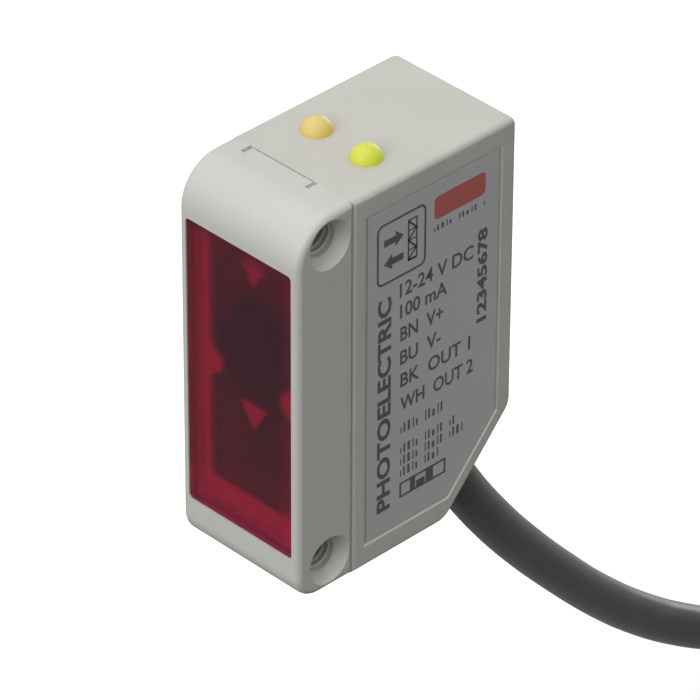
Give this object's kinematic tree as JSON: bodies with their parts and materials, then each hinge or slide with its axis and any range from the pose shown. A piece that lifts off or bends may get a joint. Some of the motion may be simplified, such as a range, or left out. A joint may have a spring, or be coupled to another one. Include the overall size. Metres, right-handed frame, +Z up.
{
  "type": "photoelectric sensor",
  "caption": "Miniature rectangular photoelectric sensor: red front window, side label, top indicators, cross mounting holes, sloped cable exit with a fixed cable.",
  "frame": {"origin": "midpoint between the two mounting holes, at mid width of the body", "axes": "+Z up along the body's height, front window faces -Y, label side faces +X, which is the mounting holes' direction"},
  "size_m": [0.0321, 0.1307, 0.0691],
  "materials": {
    "housing_plastic": "fine matte moulded light grey ABS",
    "frame_plastic": "fine matte moulded light grey ABS, a shade lighter",
    "red_window": "glossy deep red translucent acrylic",
    "seal_rubber": "soft black rubber",
    "pale_plastic": "pale grey plastic behind the window",
    "grey_seal": "soft grey seal behind the window",
    "black_plastic": "matte black",
    "clear_plastic": "clear moulded optic",
    "polariser_film": "grey polarising film",
    "led_body": "pale LED package",
    "chip_black": "black epoxy package",
    "board_green": "green solder mask",
    "ceramic_tan": "ceramic chip parts",
    "shield_metal": "thin tinned steel",
    "pin_brass": "plated pins",
    "amber_lens": "diffuse amber light pipe",
    "green_lens": "diffuse yellow-green light pipe",
    "trimmer_blue": "moulded blue trimmer body",
    "trimmer_ivory": "ivory slotted rotor",
    "grommet_rubber": "dark moulded bush",
    "cable_sheath": "dark grey PVC sheath, slightly satin",
    "core_mixed": "thin PVC cores",
    "label_film": "silver-grey polyester label",
    "tie_black": "black nylon strap",
    "core_brown": "brown PVC",
    "core_blue": "blue PVC",
    "core_black": "black PVC",
    "core_white": "white PVC",
    "tinned_copper": "tinned wire ends"
  },
  "bodies": {
    "housing": {"rear_housing": "housing_plastic", "front_frame": "frame_plastic", "front_window": "red_window", "window_gasket": "grey_seal", "seam_seal": "seal_rubber", "optics_mask": "pale_plastic", "axis_marks": "pale_plastic", "optics_carrier": "black_plastic", "emitter_lens": "clear_plastic", "receiver_lens": "clear_plastic", "emitter_polariser": "polariser_film", "receiver_polariser": "polariser_film", "emitter_led": "led_body", "receiver_photodiode": "chip_black", "optics_board": "board_green", "receiver_amplifier": "chip_black", "receiver_shield": "shield_metal", "main_board": "board_green", "controller_chip": "chip_black", "output_transistors": "chip_black", "board_passives": "ceramic_tan", "board_connector": "pin_brass", "indicator_leds": "led_body", "trimmer_body": "trimmer_blue", "trimmer_seal": "seal_rubber", "cable_clamp": "shield_metal", "cable_tail": "cable_sheath", "inner_wires": "core_mixed", "amber_light_pipe": "amber_lens", "green_light_pipe": "green_lens", "cable_grommet": "grommet_rubber", "label": "label_film", "cable": "cable_sheath", "cable_hank": "cable_sheath", "cable_end": "cable_sheath", "hank_ties": "tie_black", "core_brown": "core_brown", "core_blue": "core_blue", "core_black": "core_black", "core_white": "core_white", "core_tips": "tinned_copper"},
    "trimmer": {"trimmer_rotor": "trimmer_ivory"}
  },
  "joints": [
    {"name": "trimmer_turn", "type": "hinge", "parent": "housing", "child": "trimmer", "pos_m": [0, 0.0155, 0.0095], "axis": [0, 1, 0], "range_deg": [-135, 135]}
  ]
}
